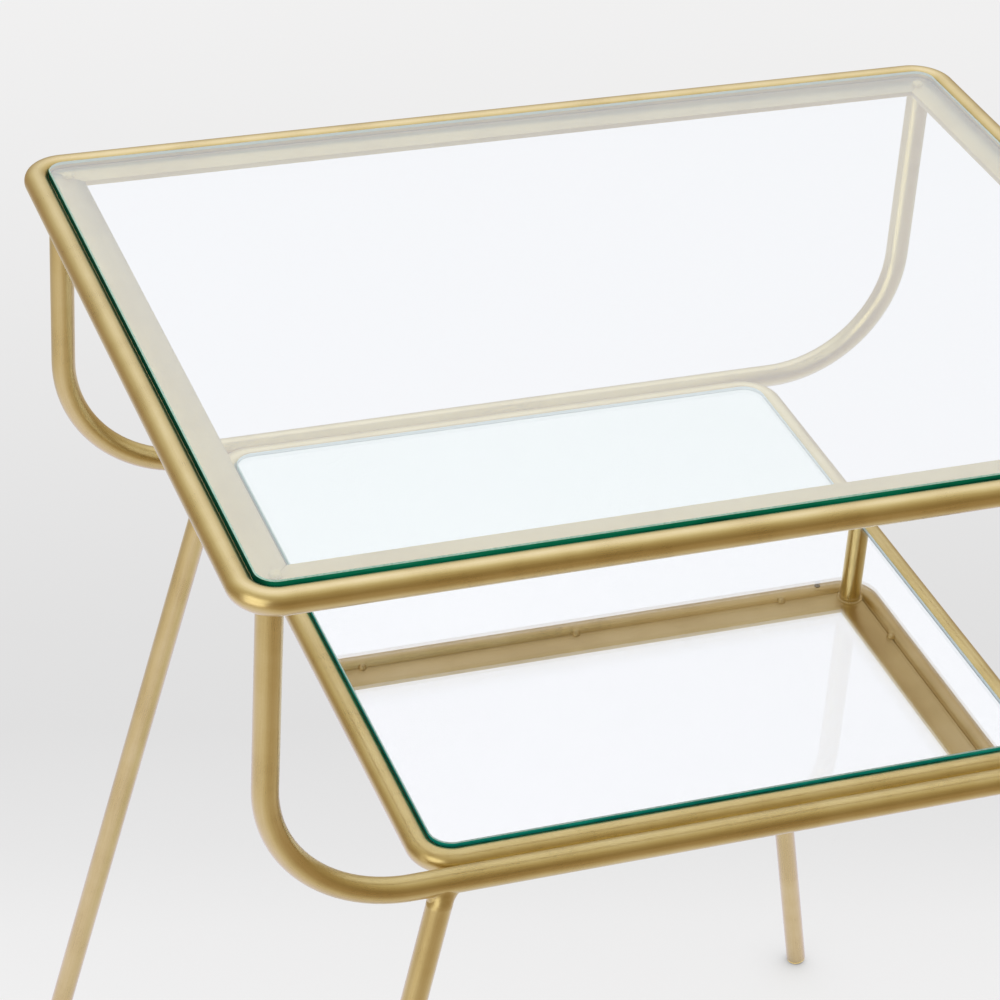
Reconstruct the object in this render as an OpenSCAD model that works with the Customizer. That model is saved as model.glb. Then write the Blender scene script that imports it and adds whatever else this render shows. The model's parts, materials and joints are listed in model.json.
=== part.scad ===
// Two-tier side table: a glass top in a round-tube loop, two U-shaped hoops under it,
// a mirror shelf between the hoops and four splayed tube legs.
// Origin on the floor under the middle of the table, X along the long side, Y to the back, Z up.

/* [Tube] */
// Outer diameter of every tube
tube_d = 12.7; // [10:0.1:16]
// Wall thickness of the tube
tube_wall = 1.2; // [0.8:0.1:2]
// Bend radius of the loop corners, at the tube's centre line
loop_bend = 16; // [14:0.5:24]

/* [Top loop] */
// Height of the top of the loop above the floor
table_h = 688; // [560:1:800]
// Outside width of the top loop
top_w = 534; // [460:2:640]
// Outside depth of the top loop
top_d = 427; // [360:1:500]
// Drain hole in the underside of the back tube
drain_d = 4; // [2:0.5:6]
// Distance of each drain hole from the middle of the back tube
drain_x = 231; // [150:1:235]

/* [Ledges] */
// Width of the flat bars that carry the glass and the mirror
bar_w = 16.8; // [12:0.1:24]
// Thickness of the flat bars
bar_t = 3; // [2:0.1:5]
// Radius of the weld tacks between bars and tube
tack_r = 2.6; // [1.5:0.1:3.2]
// Tacks along each long bar of the top
top_tacks_x = 4; // [2:1:6]
// Spacing of the tacks along the long bars of the top
top_tack_pitch_x = 136; // [60:2:150]
// Tacks along each short bar of the top
top_tacks_y = 3; // [2:1:4]
// Spacing of the tacks along the short bars of the top
top_tack_pitch_y = 148; // [60:2:155]
// Tacks along each side of the shelf
shelf_tacks = 3; // [2:1:4]
// Spacing of the tacks along the shelf bars
shelf_tack_pitch = 90; // [40:2:100]

/* [Glass top] */
// Thickness of the glass
glass_t = 5; // [4:0.5:6]
// How far the glass stands above the tube
glass_proud = 0.2; // [0:0.1:1]
// Gap between the glass edge and the tube
glass_gap = 0.45; // [0.3:0.05:1]

/* [Mirror shelf] */
// Outside width of the shelf loop
shelf_w = 338; // [300:1:380]
// Drop from the top loop to the hoop run and the shelf loop, between tube centres
shelf_drop = 183; // [150:0.5:230]
// Thickness of the mirror, with its backing
mirror_t = 3; // [2.5:0.5:5]
// Thickness of the silver and paint on the back of the mirror
backing_t = 0.2; // [0.1:0.1:0.4]
// How far the mirror stands above the tube
mirror_proud = 0.8; // [0:0.1:1]
// Gap between the mirror edge and the tube
mirror_gap = 0.5; // [0.3:0.05:1]

/* [Bumpers] */
// Diameter of the clear bumpers under the glass and the mirror
bumper_d = 6; // [4:0.5:9]
// Height of the bumpers
bumper_h = 2; // [1:0.25:3]
// Distance of each bumper's middle from the outer edges of the ledge
bumper_inset = 9.8; // [7:0.1:12]

/* [Hoops] */
// Bend radius of the hoops, at the tube's centre line
hoop_bend = 73; // [50:1:90]
// Distance of the hoop uprights inboard of the top loop, between tube centres
hoop_inset = 13; // [12.8:0.1:18]
// Leg length of the bead round the top of each upright
bead_leg = 1.8; // [1.2:0.1:3]
// Seams that join the shelf loop to each hoop
seams = 3; // [2:1:5]
// Spacing of the seams
seam_pitch = 110; // [60:2:130]
// Length of each seam
seam_len = 22; // [10:1:40]

/* [Legs] */
// Distance of each leg's axis inboard of the hoop's upright, along X, at the hoop run
leg_inset = 88; // [76:1:130]
// Distance of each leg's axis outboard of the hoop run, along Y
leg_out = 2; // [0:0.25:3]
// Distance of each foot outboard of the top loop along X, between centres
foot_out_x = 6; // [-60:1:40]
// Distance of each foot outboard of the top loop along Y, between centres
foot_out_y = 27; // [-10:0.5:50]
// Radius of the weld fillet between the leg's inner side and the hoop run
fillet_r = 7; // [4:0.5:12]
// Width of the weld fillet
fillet_w = 8; // [5:0.5:10]

/* [Glides] */
// Radius of the glide's domed face
dome_r = 14; // [10:0.5:20]
// Thickness of the glide's rim
rim_t = 1.4; // [0.8:0.1:3]
// Length of the glide's plug inside the leg
plug_len = 16; // [10:1:30]
// Radial clearance of the plug
plug_gap = 0.05; // [0.02:0.01:0.1]
// How far the rim stands inside the tube's outline
rim_step = 0.25; // [0:0.05:1]

/* [Joints] */
// Gap that a weld closes between two pieces of metal
weld_gap = 0.2; // [0.1:0.05:0.3]
// Gap between a weld bead and the metal it lies on
bead_skin = 0.05; // [0.03:0.01:0.1]

/* [Hidden] */
$fn = 64;

tube_r = tube_d / 2;
bore_r = tube_r - tube_wall;
// A length that runs well past whatever it cuts
past = 2 * tube_d;

// Heights
rail_z = table_h - tube_r;
glass_top = table_h + glass_proud;
glass_z = glass_top - glass_t;
top_bar_z = glass_z - bumper_h - bar_t;
run_z = rail_z - shelf_drop;
mirror_top = run_z + tube_r + mirror_proud;
mirror_z = mirror_top - mirror_t;
shelf_bar_z = mirror_z - bumper_h - bar_t;

// Half widths and half depths, at the tube centres
top_hx = top_w / 2 - tube_r;
top_hy = top_d / 2 - tube_r;
hoop_hx = top_hx - hoop_inset;
hoop_hy = top_hy - hoop_inset;
shelf_hx = shelf_w / 2 - tube_r;
shelf_hy = hoop_hy - tube_d - weld_gap;

// Half width of the tube at a height above or below its centre
function flank(h) = abs(h) < tube_r ? sqrt(tube_r * tube_r - h * h) : 0;
// Widest half width of the tube between two heights
function widest(lo, hi) = lo <= 0 && hi >= 0 ? tube_r : flank(min(abs(lo), abs(hi)));

glass_in = widest(glass_z - rail_z, glass_top - rail_z) + glass_gap;
mirror_in = widest(mirror_z - run_z, mirror_top - run_z) + mirror_gap;
top_bar_in = widest(top_bar_z - rail_z, top_bar_z + bar_t - rail_z) + weld_gap;
shelf_bar_in = widest(shelf_bar_z - run_z, shelf_bar_z + bar_t - run_z) + weld_gap;

// A leg's axis runs from the hoop run to the floor
leg_x = hoop_hx - leg_inset;
leg_top = [leg_x, hoop_hy + leg_out, run_z];
leg_foot = [top_hx + foot_out_x, top_hy + foot_out_y, 0];
leg_run = leg_foot - leg_top;
leg_dir = leg_run / norm(leg_run);
leg_tilt = acos(-leg_dir[2]);
leg_turn = atan2(leg_dir[1], leg_dir[0]);
// The dome's centre is where the axis is one dome radius above the floor
dome_at = leg_foot - leg_dir * (dome_r / -leg_dir[2]);
rim_r = tube_r - rim_step;
dome_edge = sqrt(dome_r * dome_r - rim_r * rim_r);
dome_len = norm(dome_at - leg_top);
leg_len = dome_len + dome_edge - rim_t;
// The leg's top edge, level with the sides of its cope
cope_z = run_z - 0.8 * tube_r;

// Seams lie in the groove between two tubes that run side by side
seam_r = 0.36 * tube_r;
seam_z = run_z - 0.7 * tube_r;

brass = [0.76, 0.66, 0.42];
clear_green = [0.75, 0.9, 0.85, 0.35];
silver = [0.85, 0.88, 0.9];
backing_grey = [0.45, 0.46, 0.48];
clear_plastic = [0.82, 0.85, 0.88, 0.6];

module tube_section() {
    difference() {
        circle(r = tube_r);
        circle(r = bore_r);
    }
}

// A straight tube along Z, centred on the origin
module straight(len) {
    linear_extrude(height = len, center = true)
        tube_section();
}

// A quarter bend in the XY plane, from +X to +Y
module bend(radius) {
    rotate_extrude(angle = 90)
        translate([radius, 0])
            tube_section();
}

// A closed loop of tube with four bends
module loop(hx, hy) {
    union() {
        for (side = [-1, 1])
            translate([0, side * hy, 0])
                rotate([0, 90, 0])
                    straight(2 * (hx - loop_bend));
        for (side = [-1, 1])
            translate([side * hx, 0, 0])
                rotate([90, 0, 0])
                    straight(2 * (hy - loop_bend));
        for (quarter = [0:3])
            translate([
                (quarter == 0 || quarter == 3 ? 1 : -1) * (hx - loop_bend),
                (quarter < 2 ? 1 : -1) * (hy - loop_bend),
                0
            ])
                rotate([0, 0, 90 * quarter])
                    bend(loop_bend);
    }
}

// A rectangle with round corners
module round_rect(hx, hy, radius) {
    union() {
        square([2 * (hx - radius), 2 * hy], center = true);
        square([2 * hx, 2 * (hy - radius)], center = true);
        for (sx = [-1, 1], sy = [-1, 1])
            translate([sx * (hx - radius), sy * (hy - radius)])
                circle(r = radius);
    }
}

// A flat bar along the front of a ledge, mitred at both ends and rounded to clear the loop's bends
module mitred_bar(hx, hy, inset) {
    out_x = hx - inset;
    out_y = hy - inset;
    linear_extrude(height = bar_t)
        intersection() {
            round_rect(out_x, out_y, loop_bend - inset);
            polygon([
                [-out_x, -out_y], [out_x, -out_y],
                [out_x - bar_w, bar_w - out_y], [bar_w - out_x, bar_w - out_y]
            ]);
        }
}

module top_bar(hx, hy) {
    color(brass)
        translate([0, 0, top_bar_z])
            mitred_bar(hx, hy, top_bar_in);
}

module shelf_bar(hx, hy) {
    color(brass)
        translate([0, 0, shelf_bar_z])
            mitred_bar(hx, hy, shelf_bar_in);
}

// One tack in the corner between a bar's underside and a tube along X, whose centre is the origin
module tack(under, inset) {
    difference() {
        translate([0, inset, under])
            sphere(r = tack_r);
        rotate([0, 90, 0])
            cylinder(r = tube_r + bead_skin, h = past, center = true);
        translate([-past / 2, -past / 2, under - bead_skin])
            cube([past, 2 * past, past]);
    }
}

// Tacks spread evenly along a bar that runs beside the tube at y = -reach
module tack_row(reach, count, pitch, under, inset) {
    for (i = [0:count - 1])
        translate([(i - (count - 1) / 2) * pitch, -reach, 0])
            tack(under, inset);
}

// Four clear bumpers near the corners of a ledge
module bumpers(hx, hy, inset, z) {
    soft_edge = bumper_h / 4;
    for (sx = [-1, 1], sy = [-1, 1])
        translate([sx * (hx - inset - bumper_inset), sy * (hy - inset - bumper_inset), z])
            union() {
                cylinder(d = bumper_d, h = bumper_h - soft_edge);
                translate([0, 0, bumper_h - soft_edge])
                    cylinder(d1 = bumper_d, d2 = bumper_d - 2 * soft_edge, h = soft_edge);
            }
}

// A U-shaped hoop in the XZ plane, with its run along X at z = 0
module hoop() {
    upright = top_bar_z - weld_gap - run_z - hoop_bend;
    union() {
        rotate([0, 90, 0])
            straight(2 * (hoop_hx - hoop_bend));
        for (side = [0, 1])
            rotate([0, 0, 180 * side])
                translate([hoop_hx - hoop_bend, 0, hoop_bend])
                    rotate([-90, 0, 0])
                        bend(hoop_bend);
        for (side = [-1, 1])
            translate([side * hoop_hx, 0, hoop_bend + upright / 2])
                straight(upright);
    }
}

// Weld bead round the top of an upright, trimmed where it meets the loop's bend
module end_bead() {
    difference() {
        translate([hoop_hx, hoop_hy, top_bar_z])
            rotate_extrude()
                translate([tube_r + bead_skin, 0])
                    polygon([[0, -bead_skin], [bead_leg, -bead_skin], [0, -bead_leg]]);
        translate([top_hx - loop_bend, top_hy - loop_bend, rail_z])
            rotate_extrude()
                translate([loop_bend, 0])
                    circle(r = tube_r + bead_skin);
    }
}

// A seam under the groove between the hoop run and the shelf loop
module seam() {
    difference() {
        translate([0, (hoop_hy + shelf_hy) / 2, seam_z])
            rotate([0, 90, 0])
                cylinder(r = seam_r, h = seam_len, center = true);
        for (y = [hoop_hy, shelf_hy])
            translate([0, y, run_z])
                rotate([0, 90, 0])
                    cylinder(r = tube_r + bead_skin, h = 2 * seam_len, center = true);
    }
}

// Puts a piece of the back right corner at another corner
module at_corner(sx, sy) {
    mirror([sx < 0 ? 1 : 0, 0, 0])
        mirror([0, sy < 0 ? 1 : 0, 0])
            children();
}

// Turns +Z to run down the leg's axis, from the hoop run
module down_leg() {
    translate(leg_top)
        rotate([0, 0, leg_turn])
            rotate([0, 180 - leg_tilt, 0])
                children();
}

// The leg of the back right corner, coped to the underside of the hoop run
module leg() {
    color(brass)
        difference() {
            down_leg()
                cylinder(r = tube_r, h = leg_len);
            down_leg()
                translate([0, 0, -past])
                    cylinder(r = bore_r, h = leg_len + 2 * past);
            translate([leg_x, hoop_hy, run_z])
                rotate([0, 90, 0])
                    cylinder(r = tube_r + weld_gap, h = 2 * past, center = true);
            translate([leg_x - past, hoop_hy - past, cope_z])
                cube([2 * past, 2 * past, past]);
        }
}

// The weld fillet on the inner side of the back right leg, under the hoop run
module leg_fillet() {
    slope = -leg_dir[0] / leg_dir[2];
    stretch = sqrt(1 + slope * slope);
    under = run_z - tube_r;
    side_x = leg_x + slope * tube_r - tube_r * stretch;
    round_x = side_x + fillet_r * (slope - stretch);
    round_z = under - fillet_r;
    difference() {
        translate([0, hoop_hy + leg_out / 2, 0])
            rotate([90, 0, 0])
                linear_extrude(height = fillet_w, center = true)
                    difference() {
                        polygon([
                            [round_x, round_z],
                            [round_x, run_z],
                            [leg_x, run_z],
                            [leg_x + slope * (tube_r + fillet_r), round_z],
                            [round_x + fillet_r / stretch, round_z + fillet_r * slope / stretch]
                        ]);
                        translate([round_x, round_z])
                            circle(r = fillet_r);
                    }
        down_leg()
            translate([0, 0, -past])
                cylinder(r = tube_r + bead_skin, h = leg_len);
        translate([leg_x, hoop_hy, run_z])
            rotate([0, 90, 0])
                cylinder(r = tube_r + bead_skin, h = 3 * past, center = true);
    }
}

// The glide of the back right leg: a domed foot with a plug inside the tube
module glide() {
    lead = (bore_r - plug_gap) / 4;
    color(clear_plastic)
        down_leg()
            union() {
                intersection() {
                    translate([0, 0, dome_len])
                        sphere(r = dome_r);
                    translate([0, 0, leg_len])
                        cylinder(r = rim_r, h = past);
                }
                translate([0, 0, leg_len - plug_len + lead])
                    cylinder(r = bore_r - plug_gap, h = plug_len - lead);
                translate([0, 0, leg_len - plug_len])
                    cylinder(r1 = bore_r - plug_gap - lead / 2, r2 = bore_r - plug_gap, h = lead);
            }
}

module top_rail() {
    color(brass)
        difference() {
            translate([0, 0, rail_z])
                loop(top_hx, top_hy);
            for (side = [-1, 1])
                translate([side * drain_x, top_hy, rail_z - tube_d])
                    cylinder(d = drain_d, h = tube_d);
        }
}

module top_ledge_front() {
    top_bar(top_hx, top_hy);
}

module top_ledge_back() {
    rotate([0, 0, 180])
        top_bar(top_hx, top_hy);
}

module top_ledge_left() {
    rotate([0, 0, -90])
        top_bar(top_hy, top_hx);
}

module top_ledge_right() {
    rotate([0, 0, 90])
        top_bar(top_hy, top_hx);
}

module top_ledge_tacks() {
    color(brass)
        for (side = [0, 1])
            rotate([0, 0, 180 * side])
                translate([0, 0, rail_z]) {
                    tack_row(top_hy, top_tacks_x, top_tack_pitch_x, top_bar_z - rail_z, top_bar_in);
                    rotate([0, 0, 90])
                        tack_row(top_hx, top_tacks_y, top_tack_pitch_y, top_bar_z - rail_z, top_bar_in);
                }
}

module top_bumpers() {
    color(clear_plastic)
        bumpers(top_hx, top_hy, top_bar_in, top_bar_z + bar_t);
}

module top_glass() {
    color(clear_green)
        translate([0, 0, glass_z])
            linear_extrude(height = glass_t)
                round_rect(top_hx - glass_in, top_hy - glass_in, loop_bend - glass_in);
}

module front_hoop() {
    color(brass)
        translate([0, -hoop_hy, run_z])
            hoop();
}

module back_hoop() {
    color(brass)
        translate([0, hoop_hy, run_z])
            hoop();
}

module hoop_end_beads() {
    color(brass)
        for (sx = [-1, 1], sy = [-1, 1])
            at_corner(sx, sy)
                end_bead();
}

module shelf_rail() {
    color(brass)
        translate([0, 0, run_z])
            loop(shelf_hx, shelf_hy);
}

module shelf_ledge_front() {
    shelf_bar(shelf_hx, shelf_hy);
}

module shelf_ledge_back() {
    rotate([0, 0, 180])
        shelf_bar(shelf_hx, shelf_hy);
}

module shelf_ledge_left() {
    rotate([0, 0, -90])
        shelf_bar(shelf_hy, shelf_hx);
}

module shelf_ledge_right() {
    rotate([0, 0, 90])
        shelf_bar(shelf_hy, shelf_hx);
}

module shelf_ledge_tacks() {
    color(brass)
        for (side = [0:3])
            rotate([0, 0, 90 * side])
                translate([0, 0, run_z])
                    tack_row(
                        side % 2 == 0 ? shelf_hy : shelf_hx,
                        shelf_tacks, shelf_tack_pitch, shelf_bar_z - run_z, shelf_bar_in
                    );
}

module shelf_seams() {
    color(brass)
        for (sy = [-1, 1], i = [0:seams - 1])
            at_corner(1, sy)
                translate([(i - (seams - 1) / 2) * seam_pitch, 0, 0])
                    seam();
}

module shelf_bumpers() {
    color(clear_plastic)
        bumpers(shelf_hx, shelf_hy, shelf_bar_in, shelf_bar_z + bar_t);
}

module shelf_mirror() {
    color(silver)
        translate([0, 0, mirror_z + backing_t])
            linear_extrude(height = mirror_t - backing_t)
                round_rect(shelf_hx - mirror_in, shelf_hy - mirror_in, loop_bend - mirror_in);
}

module mirror_backing() {
    color(backing_grey)
        translate([0, 0, mirror_z])
            linear_extrude(height = backing_t)
                round_rect(shelf_hx - mirror_in, shelf_hy - mirror_in, loop_bend - mirror_in);
}

module front_left_leg() {
    at_corner(-1, -1)
        leg();
}

module front_right_leg() {
    at_corner(1, -1)
        leg();
}

module back_left_leg() {
    at_corner(-1, 1)
        leg();
}

module back_right_leg() {
    leg();
}

module leg_fillets() {
    color(brass)
        for (sx = [-1, 1], sy = [-1, 1])
            at_corner(sx, sy)
                leg_fillet();
}

module front_left_glide() {
    at_corner(-1, -1)
        glide();
}

module front_right_glide() {
    at_corner(1, -1)
        glide();
}

module back_left_glide() {
    at_corner(-1, 1)
        glide();
}

module back_right_glide() {
    glide();
}

top_rail();
top_ledge_front();
top_ledge_back();
top_ledge_left();
top_ledge_right();
top_ledge_tacks();
top_bumpers();
top_glass();
front_hoop();
back_hoop();
hoop_end_beads();
shelf_rail();
shelf_ledge_front();
shelf_ledge_back();
shelf_ledge_left();
shelf_ledge_right();
shelf_ledge_tacks();
shelf_seams();
shelf_bumpers();
shelf_mirror();
mirror_backing();
front_left_leg();
front_right_leg();
back_left_leg();
back_right_leg();
leg_fillets();
front_left_glide();
front_right_glide();
back_left_glide();
back_right_glide();
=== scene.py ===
import json
import math
import bmesh
import bpy
from mathutils import Euler, Matrix, Vector

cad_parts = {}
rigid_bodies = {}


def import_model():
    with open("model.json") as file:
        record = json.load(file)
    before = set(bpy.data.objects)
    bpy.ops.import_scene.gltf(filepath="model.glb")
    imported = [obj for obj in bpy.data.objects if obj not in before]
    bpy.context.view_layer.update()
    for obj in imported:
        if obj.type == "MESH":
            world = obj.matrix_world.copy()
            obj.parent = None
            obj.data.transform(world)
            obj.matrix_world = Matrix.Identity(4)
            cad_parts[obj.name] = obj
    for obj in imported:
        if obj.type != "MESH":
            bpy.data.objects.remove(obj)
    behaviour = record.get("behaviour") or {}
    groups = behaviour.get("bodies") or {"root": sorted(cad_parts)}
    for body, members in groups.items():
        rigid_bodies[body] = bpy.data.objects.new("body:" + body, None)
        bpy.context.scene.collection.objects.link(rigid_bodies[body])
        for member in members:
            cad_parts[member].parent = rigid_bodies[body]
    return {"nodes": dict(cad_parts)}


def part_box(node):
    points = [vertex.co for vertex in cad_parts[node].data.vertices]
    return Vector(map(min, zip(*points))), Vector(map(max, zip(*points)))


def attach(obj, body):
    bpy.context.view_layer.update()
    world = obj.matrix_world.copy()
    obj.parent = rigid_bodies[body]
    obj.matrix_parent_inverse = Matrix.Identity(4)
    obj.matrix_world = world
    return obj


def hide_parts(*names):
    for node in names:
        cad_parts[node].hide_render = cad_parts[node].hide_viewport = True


for spare in list(bpy.data.objects):
    bpy.data.objects.remove(spare)
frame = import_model()
bpy.context.view_layer.update()
print("frame loaded")

sceneNow = bpy.context.scene
sceneNow.view_settings.view_transform = "Standard"
white = (1, 1, 1, 1)


# A node socket that can stand in sums
class Wire:
    def __init__(self, tree, socket=None):
        self.tree = tree
        self.socket = socket

    # Another output of the same node
    def __getitem__(self, name):
        return Wire(self.tree, self.socket.node.outputs[name])

    # Adds one node: its settings first, then the values or links of its sockets
    def node(self, kind, values=None, out=0, stops=None, **settings):
        made = self.tree.nodes.new(kind)
        for name, value in settings.items():
            setattr(made, name, value)
        if stops:
            ramp = made.color_ramp
            while len(ramp.elements) < len(stops):
                ramp.elements.new(1.0)
            for element, (at, colour) in zip(ramp.elements, stops):
                element.position = at
                element.color = colour
        for key, value in (values or {}).items():
            if isinstance(value, Wire):
                self.tree.links.new(value.socket, made.inputs[key])
            else:
                made.inputs[key].default_value = value
        return Wire(self.tree, made.outputs[out] if len(made.outputs) else None)

    def math(self, operation, first, second=0.0):
        return self.node("ShaderNodeMath", {0: first, 1: second}, operation=operation)

    def __add__(self, other):
        return self.math("ADD", self, other)

    __radd__ = __add__

    def __sub__(self, other):
        return self.math("SUBTRACT", self, other)

    def __rsub__(self, other):
        return self.math("SUBTRACT", other, self)

    def __mul__(self, other):
        return self.math("MULTIPLY", self, other)

    __rmul__ = __mul__

    def __truediv__(self, other):
        return self.math("DIVIDE", self, other)

    def __rtruediv__(self, other):
        return self.math("DIVIDE", other, self)

    # A smooth step from 0 to 1 between two values
    def between(self, low, high):
        return self.node("ShaderNodeMapRange", {"Value": self, "From Min": low, "From Max": high},
                         interpolation_type="SMOOTHSTEP", clamp=True)

    # This value picks between two colours
    def mix(self, first, second):
        return self.node("ShaderNodeMix", {0: self, 6: first, 7: second}, out=2, data_type="RGBA")

    # This colour times another
    def tinted(self, other):
        return self.node("ShaderNodeMix", {0: 1.0, 6: self, 7: other}, out=2, data_type="RGBA",
                         blend_type="MULTIPLY")

    # This height as a relief
    def bump(self, strength, depth):
        return self.node("ShaderNodeBump", {"Strength": strength, "Distance": depth, "Height": self},
                         out="Normal")

    def noise(self, place, scale, detail, roughness):
        return self.node("ShaderNodeTexNoise", {"Vector": place, "Scale": scale, "Detail": detail,
                                                "Roughness": roughness})

    def vector(self, x, y, z):
        return self.node("ShaderNodeCombineXYZ", {0: x, 1: y, 2: z})

    def split(self, place):
        return self.node("ShaderNodeSeparateXYZ", {0: place})

    def stretch(self, place, factors):
        return self.node("ShaderNodeVectorMath", {0: place, 1: factors}, operation="MULTIPLY")

    # How far a split place is from the Z axis
    def fromMiddle(self, parts):
        return self.math("SQRT", parts["X"] * parts["X"] + parts["Y"] * parts["Y"])


def startMaterial(name):
    material = bpy.data.materials.new(name)
    material.use_nodes = True
    material.node_tree.nodes.clear()
    return material, Wire(material.node_tree)


def addShader(pen, values):
    shader = pen.node("ShaderNodeBsdfPrincipled", values)
    pen.node("ShaderNodeOutputMaterial", {"Surface": shader})


def objectPlace(pen):
    return pen.node("ShaderNodeTexCoord", out="Object")


# The lowest and highest place of a node of the frame along one axis
def span(node, axis):
    low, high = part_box(node)
    return low[axis], high[axis]


# Sizes that the frame gives, in metres: the tube's radius, the middles of the loops and hoops, their heights
tubeR = (span("top_rail", 2)[1] - span("top_rail", 2)[0]) / 2
railZ = sum(span("top_rail", 2)) / 2
topHalfX = span("top_rail", 0)[1] - tubeR
topHalfY = span("top_rail", 1)[1] - tubeR
shelfHalfX = span("shelf_rail", 0)[1] - tubeR
shelfHalfY = span("shelf_rail", 1)[1] - tubeR
hoopHalfX = span("front_hoop", 0)[1] - tubeR
hoopHalfY = span("back_hoop", 1)[1] - tubeR
hoopEnd = span("front_hoop", 2)[1]
runZ = span("front_hoop", 2)[0] + tubeR

brassLook = {
    "pale": (0.650, 0.495, 0.165, 1),
    "mid": (0.610, 0.450, 0.125, 1),
    "deep": (0.545, 0.388, 0.092, 1),
    "rough": 0.30,
    "roughSwing": 0.08,
    "barRougher": 0.06,  # the flat bars are a little duller than the tubes
    "lacquer": 1.0,
    "lacquerIor": 2.05,
    "lacquerRough": 0.33,
    "lineStretch": 0.03,  # the lines' scale along the metal, as a share of their scale across it
    "lineScale": 5200.0,
    "fineScale": 1560.0,
    "cloudScale": 26.0,
    "speckScale": 1040.0,
    "bump": 0.05,
    "bumpDepth": 0.0002,
}


# grain is "tube" for lines along a tube's own UV map, or the object axis that the lines follow
def makeBrass(name, grain):
    material, pen = startMaterial(name)
    if grain == "tube":
        parts = pen.split(pen.node("ShaderNodeUVMap", uv_map="UVMap"))
        turn = parts["Y"] * (2 * math.pi)
        place = pen.vector(parts["X"], pen.math("COSINE", turn) * tubeR, pen.math("SINE", turn) * tubeR)
        along = (brassLook["lineStretch"], 1, 1)
        duller = 0.0
    else:
        place = objectPlace(pen)
        along = tuple(brassLook["lineStretch"] if axis == grain else 1.0 for axis in "xyz")
        duller = brassLook["barRougher"]
    drawn = pen.stretch(place, along)
    lines = pen.noise(drawn, brassLook["lineScale"], 3.0, 0.6)
    fine = pen.noise(drawn, brassLook["fineScale"], 2.0, 0.55)
    cloud = pen.noise(place, brassLook["cloudScale"], 3.0, 0.55)
    speck = pen.noise(place, brassLook["speckScale"], 2.0, 0.6)
    tone = cloud.between(0.32, 0.68) * 0.6 + fine.between(0.3, 0.7) * 0.25 + speck.between(0.35, 0.75) * 0.15
    warm = tone.between(0.1, 0.55).mix(brassLook["deep"], brassLook["mid"])
    colour = tone.between(0.45, 0.95).mix(warm, brassLook["pale"])
    swing = brassLook["roughSwing"]
    rough = lines.between(0.3, 0.7) * (swing * 0.6) + cloud.between(0.3, 0.7) * (swing * 0.4) \
        + (brassLook["rough"] - swing / 2 + duller)
    relief = (lines * 0.6 + fine * 0.4).bump(brassLook["bump"], brassLook["bumpDepth"])
    addShader(pen, {"Base Color": colour, "Metallic": 1.0, "Roughness": rough, "Normal": relief,
                    "Coat Weight": brassLook["lacquer"], "Coat IOR": brassLook["lacquerIor"],
                    "Coat Roughness": brassLook["lacquerRough"] + duller})
    return material


tubeBrass = makeBrass("tubeBrass", "tube")
barBrassX = makeBrass("barBrassX", "x")
barBrassY = makeBrass("barBrassY", "y")

weldLook = {
    "pale": (0.640, 0.482, 0.150, 1),
    "deep": (0.580, 0.420, 0.108, 1),
    "rough": 0.42,
    "roughSwing": 0.16,
    "lacquerRough": 0.42,
    "cloudScale": 420.0,
    "pitScale": 2600.0,
    "bump": 0.12,
    "bumpDepth": 0.0003,
}


def makeWeldBrass():
    material, pen = startMaterial("weldBrass")
    place = objectPlace(pen)
    cloud = pen.noise(place, weldLook["cloudScale"], 3.0, 0.6)
    pit = pen.noise(place, weldLook["pitScale"], 2.0, 0.6)
    swing = weldLook["roughSwing"]
    addShader(pen, {"Base Color": cloud.between(0.3, 0.7).mix(weldLook["deep"], weldLook["pale"]),
                    "Metallic": 1.0, "Roughness": pit * swing + (weldLook["rough"] - swing / 2),
                    "Normal": pit.bump(weldLook["bump"], weldLook["bumpDepth"]),
                    "Coat Weight": 1.0, "Coat IOR": brassLook["lacquerIor"],
                    "Coat Roughness": weldLook["lacquerRough"]})
    return material


weldBrass = makeWeldBrass()
print("brass ready")

glassLook = {
    # the body's colour, and the film of reflection on the upper face
    "tint": (0.935, 0.974, 0.957, 1),
    "tintPale": (0.940, 0.977, 0.961, 1),
    "veilTint": (0.970, 0.990, 0.985, 1),
    "veilIor": 3.7,
    "ior": 1.5,
    "smearScale": 9.0,
    # the arris round the upper and the lower face, and how far the sheet stands past the frame's own solid
    "arris": 0.0006,
    "lowArris": 0.00015,
    "wider": 0.0003,
    "edgeDark": (0.0010, 0.0380, 0.0200, 1),
    "edgeMid": (0.0010, 0.1450, 0.0780, 1),
    "edgeLight": (0.0120, 0.2200, 0.1380, 1),
    # painted light: the edge's inner side is painted pale where it shows through the sheet
    "edgeInside": (0.420, 0.560, 0.520, 1),  # as it shows through the sheet
    "arrisPale": (0.520, 0.800, 0.730, 1),
    "arrisDeep": (0.360, 0.680, 0.600, 1),
    # painted shade: the edges that face left and right are painted darker than the front and back
    "sideDark": 0.85,  # how far the left and right edges go to the dark colour
    # a painted glow that the edge gives off, in place of the light that real edges gather
    "edgeGlow": 0.35,
}


# The upper face has the film, which acts from outside. What shows down through the sheet is tinted, and what
# shows up through it isn't
def makeGlassFace(name, upper):
    material, pen = startMaterial(name)
    smear = pen.noise(pen.stretch(objectPlace(pen), (1.0, 0.35, 1.0)), glassLook["smearScale"], 3.0, 0.55)
    tint = smear.between(0.25, 0.75).mix(glassLook["tint"], glassLook["tintPale"])
    inside = pen.node("ShaderNodeNewGeometry", out="Backfacing")
    outside = 1.0 - inside
    downward = outside if upper else inside
    film = (1.0 - smear.between(0.5, 0.8) * 0.03) * outside if upper else 0.0
    addShader(pen, {"Base Color": downward.mix(white, tint), "Roughness": 0.0, "IOR": glassLook["ior"],
                    "Transmission Weight": 1.0, "Coat Weight": film, "Coat IOR": glassLook["veilIor"],
                    "Coat Roughness": 0.0, "Coat Tint": glassLook["veilTint"]})
    return material


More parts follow.
